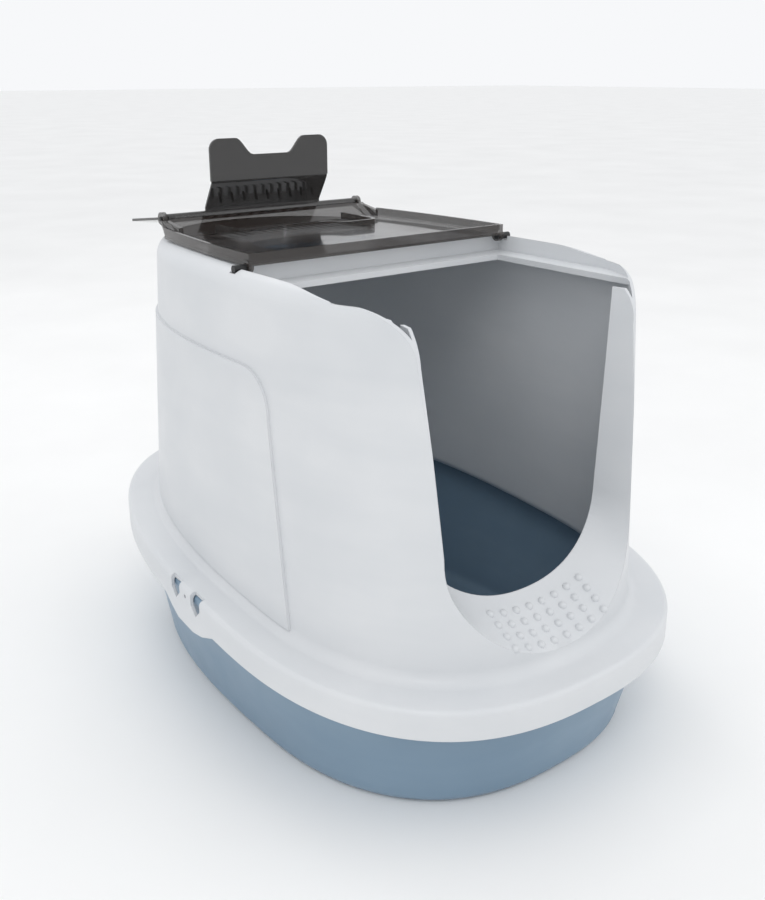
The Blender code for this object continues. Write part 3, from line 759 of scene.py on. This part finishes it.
def makeLid():
    steps = [lid["tail"]] + [-lid["length"] * i / 24 for i in range(25)]
    right = [(lidHalf(y), y) for y in steps]
    plate = prism("plate", right + [(-x, y) for x, y in right[::-1]], lidTop - lid["wall"], lidTop)
    wall, half = lid["wall"], lid["rearHalf"]
    tail = block("tail", (wall - half, lid["tail"] - wall, lidTop - lid["skirt"]),
                 (half - wall, lid["tail"] - hair, lidTop - wall / 2))
    parts = [sideSkirt(-1), sideSkirt(1), tail, slopePlate(), openingRim(), knuckle(-1), knuckle(1)]
    for side in (-1, 1):
        xs = sorted((side * (half - wall * 1.6), side * (half + hair)))
        parts.append(rod("lug", lid["lugRadius"], *xs, 0.0, -lid["lugRadius"] * 0.2))
    for part in parts:
        carve(plate, part, "UNION", "MANIFOLD")
    play = tray["play"]
    carve(plate, prism("opening", openingOutline(0.0, lid["openingFront"]), lidTop - 0.03, lidTop + 0.01),
          "DIFFERENCE", "MANIFOLD")
    reach = outline["width"] / 2 + 0.005  # the bores pass right through
    hingeBore = rod("bore", lid["pinRadius"] + play, -reach, reach, 0.0, 0.0)
    flapBore = rod("bore", flap["pinRadius"] + play, -reach, reach, flapAxis.y, flapAxis.z)
    carve(plate, hingeBore, "DIFFERENCE", "MANIFOLD")
    carve(plate, flapBore, "DIFFERENCE", "MANIFOLD")
    return finished(plate, "smoked_lid", smokedPolystyrene, 32, lidPlace)


def apron():
    lean, across, along = math.radians(flap["apronLean"]), 48, 12
    half, thick = flap["half"], flap["wall"] / 2
    bm = bmesh.new()

    def corner(i, j, face):
        share = j / along
        x = (i / across * 2 - 1) * (half - 2 * flap["run"] - 0.003 * share)
        v = flap["apronLength"] * share * (1 - 0.06 * (x / half) ** 6 * share)
        y = -v * math.sin(lean) - flap["apronBow"] * (1 - (x / half) ** 2) * share + face * thick
        return (x, y, -v * math.cos(lean))

    grids = [[[bm.verts.new(corner(i, j, face)) for i in range(across + 1)] for j in range(along + 1)]
             for face in (-1, 1)]
    for grid in grids:
        for low, high in zip(grid, grid[1:]):
            for i in range(across):
                bm.faces.new((low[i], low[i + 1], high[i + 1], high[i]))
    loops = []
    for grid in grids:
        ends = [row[-1] for row in grid[1:]]
        starts = [row[0] for row in grid[-2:0:-1]]
        loops.append(grid[0] + ends + grid[-1][-2::-1] + starts)
    for i in range(len(loops[0])):
        j = (i + 1) % len(loops[0])
        bm.faces.new((loops[0][i], loops[0][j], loops[1][j], loops[1][i]))
    return meshFrom("apron", bm)


def makeFlap():
    barrel = rod("flap", flap["barrel"], flap["run"] - flap["half"], flap["half"] - flap["run"], 0.0, 0.0)
    half, level, start = flap["wall"] / 2, flap["tabLevel"], flap["rootStart"]
    thin = half - hair
    line = [(0.0, -0.0022), (0.0064, -0.0020), (0.0245, level - 0.0029)]
    line += [(start - 0.0015, level), (start + 0.003, level)]
    top = [(y - 0.3 * thin * (i < 3), z + thin) for i, (y, z) in enumerate(line)]
    low = [(y + 0.3 * thin * (i < 3), z - thin) for i, (y, z) in enumerate(line)]
    root = prism("root", top + low[::-1], 2 * hair - flap["tabHalf"], flap["tabHalf"] - 2 * hair, "X")
    tab = prism("tab", earsOutline(flap["tabHalf"], flap["tabLength"], start), level - half, level + half)
    for part in (apron(), root, tab):
        carve(barrel, part, "UNION")
    for side in (-1, 1):
        radius = flap["pinRadius"] + tray["play"]
        ends = side * (flap["half"] - 0.008), side * (flap["half"] + 0.01)
        carve(barrel, rod("bore", radius, *ends, 0.0, 0.0))
    # the flap takes the smoked plastic darkened with painted shade
    return finished(barrel, "smoked_flap", shadedSmokedStyrene, 32, flapPlace)


def nodesModifier(item, tree, values):
    step = item.modifiers.new("nodes", "NODES")
    step.node_group = tree
    given = [s for s in tree.interface.items_tree if s.item_type == "SOCKET" and s.in_out == "INPUT"]
    sockets = {s.name: s.identifier for s in given}
    for name, value in values.items():
        step[sockets[name]] = value
    return step


def newTree(name, inputs):
    tree = bpy.data.node_groups.new(name, "GeometryNodeTree")
    tree.interface.new_socket("Geometry", in_out="INPUT", socket_type="NodeSocketGeometry")
    for label, kind in inputs:
        tree.interface.new_socket(label, in_out="INPUT", socket_type=kind)
    tree.interface.new_socket("Geometry", in_out="OUTPUT", socket_type="NodeSocketGeometry")
    return tree, addNode(tree, "NodeGroupInput")


bumps = {
    "rows": 4,
    "perRow": 8,
    "spacing": 0.0140,
    "radius": 0.0034,
    "height": 0.80,  # share of the radius that stands proud
}


def makeSillBumps():
    bm = bmesh.new()
    for row in range(bumps["rows"]):
        step = 0.18 + 0.66 * row / (bumps["rows"] - 1)
        waist = mouth["waist"] + mouth["flare"] * step
        sill = mouth["sillZ"] - mouth["rampDrop"] * step
        for i in range(bumps["perRow"]):
            x = (i - (bumps["perRow"] - 1) / 2) * bumps["spacing"]
            rise = math.sin(math.acos(x / waist)) ** mouth["sillPower"]
            z = mouth["waistZ"] - (mouth["waistZ"] - sill) * rise
            bm.verts.new((x, rampY(step), z - bumps["radius"] * (1 - bumps["height"])))
    item = meshFrom("sill_bumps", bm)
    tree, given = newTree("studs", [("Radius", "NodeSocketFloat"), ("Finish", "NodeSocketMaterial")])
    stud = addNode(tree, "GeometryNodeMeshIcoSphere", {"Subdivisions": 3},
                   {"Radius": given.outputs["Radius"]})
    spread = addNode(tree, "GeometryNodeInstanceOnPoints", {},
                     {"Points": given.outputs["Geometry"], "Instance": stud.outputs["Mesh"]})
    real = addNode(tree, "GeometryNodeRealizeInstances", {}, {0: spread.outputs[0]})
    dressed = addNode(tree, "GeometryNodeSetMaterial", {},
                      {"Geometry": real.outputs[0], "Material": given.outputs["Finish"]})
    addNode(tree, "NodeGroupOutput", {}, {0: dressed.outputs[0]})
    nodesModifier(item, tree, {"Radius": bumps["radius"], "Finish": whitePolypropylene})
    return finished(settle(item), "sill_bumps", whitePolypropylene, 60)


ribs = {
    "count": 9,
    "pitch": 0.0128,
    "size": (0.0014, 0.0105, 0.0016),
    "slant": 24.0,
    "along": 0.0150,  # from the barrel's axis up the root
    "above": 0.0052,
}


def makeTabRibs():
    tree, given = newTree("ribs", [("Count", "NodeSocketInt"), ("Pitch", "NodeSocketFloat"),
                                   ("Size", "NodeSocketVector"),
                                   ("Slant", "NodeSocketFloat"), ("Finish", "NodeSocketMaterial")])
    start = addNode(tree, "ShaderNodeMath", {"operation": "MULTIPLY", 1: -0.5 * (ribs["count"] - 1)},
                    {0: given.outputs["Pitch"]})
    first = addNode(tree, "ShaderNodeCombineXYZ", {}, {"X": start.outputs[0]})
    pitch = addNode(tree, "ShaderNodeCombineXYZ", {}, {"X": given.outputs["Pitch"]})
    row = addNode(tree, "GeometryNodeMeshLine", {},
                  {"Count": given.outputs["Count"], "Start Location": first.outputs[0],
                   "Offset": pitch.outputs[0]})
    turn = addNode(tree, "ShaderNodeCombineXYZ", {}, {"Z": given.outputs["Slant"]})
    bar = addNode(tree, "GeometryNodeMeshCube", {"Vertices X": 2, "Vertices Y": 6, "Vertices Z": 3},
                  {"Size": given.outputs["Size"]})
    spread = addNode(tree, "GeometryNodeInstanceOnPoints", {},
                     {"Points": row.outputs["Mesh"], "Instance": bar.outputs["Mesh"],
                      "Rotation": turn.outputs[0]})
    real = addNode(tree, "GeometryNodeRealizeInstances", {}, {0: spread.outputs[0]})
    dressed = addNode(tree, "GeometryNodeSetMaterial", {},
                      {"Geometry": real.outputs[0], "Material": given.outputs["Finish"]})
    addNode(tree, "NodeGroupOutput", {}, {0: dressed.outputs[0]})
    bm = bmesh.new()
    bm.verts.new((0, 0, 0))
    item = meshFrom("tab_ribs", bm)
    nodesModifier(item, tree, {"Count": ribs["count"], "Pitch": ribs["pitch"], "Size": ribs["size"],
                               "Slant": math.radians(ribs["slant"]), "Finish": shadedSmokedStyrene})
    settle(item)
    lean = Matrix.Rotation(math.atan2(0.0114, 0.0181), 4, "X")
    place = flapPlace @ Matrix.Translation((0, ribs["along"], ribs["above"])) @ lean
    return finished(item, "tab_ribs", shadedSmokedStyrene, 40, place)


def keep(piece, body, slot, *nodes):
    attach(piece, body)
    if nodes:
        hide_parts(*nodes)


keep(makeTray(), "tray", "tray", "litter_tray")
print("tray made")
keep(makeHood(), "hood", "hood", "hood_shell")
keep(makeSillBumps(), "hood", "hood")
print("hood made")
keep(makeHandle(), "handle", "handle", "carry_handle")
keep(makeLid(), "lid", "smoked", "lid_panel")
keep(makeFlap(), "flap", "smoked", "swing_flap")
keep(makeTabRibs(), "flap", "smoked")
print("handle, lid and flap made")

for name, finish in (("filter_cover", whitePolypropylene), ("filter_pad", carbonFleece)):
    frame["nodes"][name].material_slots[0].material = finish
for name, node in frame["nodes"].items():
    if "_pin_" in name:
        node.material_slots[0].material = blackAcetal

studio = {
    "floorSize": 60.0,
    "floorColour": "#FCFCFB",
    "floorShade": "#EFEFEE",
    "azimuth": -38.0,  # the camera stands ahead of the mouth, to its left
    "elevation": 20.0,
    "distance": 0.95,
    "aim": (0.012, -0.005, 0.200),
    "lens": 49.0,
    "world": 1.0,
}


lamps = {  # place, size and power
    "key": ((-0.9, -1.2, 2.0), 1.0, 6),
    "fill": ((1.6, -1.2, 1.2), 1.4, 2),
    "back": ((0.2, 1.4, 1.9), 1.0, 4),
}


def areaLight(name, place, size, power, aim=(0, 0, 0.2)):
    lamp = bpy.data.lights.new(name, "AREA")
    lamp.shape = "DISK"
    lamp.size, lamp.energy = size, power
    item = bpy.data.objects.new(name, lamp)
    item.location = place
    item.rotation_euler = (Vector(aim) - Vector(place)).to_track_quat("-Z", "Y").to_euler()
    bpy.context.scene.collection.objects.link(item)


def makeStudio():
    scene = bpy.context.scene
    half = studio["floorSize"] / 2
    bm = bmesh.new()
    corners = (-half, -half, 0), (half, -half, 0), (half, half, 0), (-half, half, 0)
    bm.faces.new([bm.verts.new(p) for p in corners])
    floor = meshFrom("floor", bm)
    made, tree = newMaterial("painted floor")
    place = addNode(tree, "ShaderNodeTexCoord").outputs["Object"]
    mottle = addNode(tree, "ShaderNodeTexNoise", {"Scale": 3.0, "Detail": 4.0}, {"Vector": place})
    paints = {"data_type": "RGBA", 6: linear(studio["floorShade"]), 7: linear(studio["floorColour"])}
    colour = addNode(tree, "ShaderNodeMix", paints,
                     {0: mottle.outputs["Fac"]})
    shader = addNode(tree, "ShaderNodeBsdfPrincipled", {"Roughness": 0.7}, {"Base Color": colour.outputs[2]})
    addNode(tree, "ShaderNodeOutputMaterial", {}, {"Surface": shader.outputs[0]})
    floor.data.materials.append(made)
    world = bpy.data.worlds.new("studio")
    world.use_nodes = True
    sky = world.node_tree.nodes["Background"]
    sky.inputs[0].default_value = linear("#F7F8FA")
    sky.inputs[1].default_value = studio["world"]
    scene.world = world
    for name, (place, size, power) in lamps.items():
        areaLight(name, place, size, power)
    turn, lift = math.radians(studio["azimuth"]), math.radians(studio["elevation"])
    aim = Vector(studio["aim"])
    away = Vector((math.sin(turn) * math.cos(lift), -math.cos(turn) * math.cos(lift), math.sin(lift)))
    camera = bpy.data.cameras.new("camera")
    camera.sensor_fit = "HORIZONTAL"
    camera.sensor_width = 36.0
    camera.lens = studio["lens"]
    item = bpy.data.objects.new("camera", camera)
    item.location = aim + away * studio["distance"]
    item.rotation_euler = (-away).to_track_quat("-Z", "Y").to_euler()
    scene.collection.objects.link(item)
    scene.camera = item
    scene.view_settings.view_transform = "Standard"


makeStudio()
print("studio made")
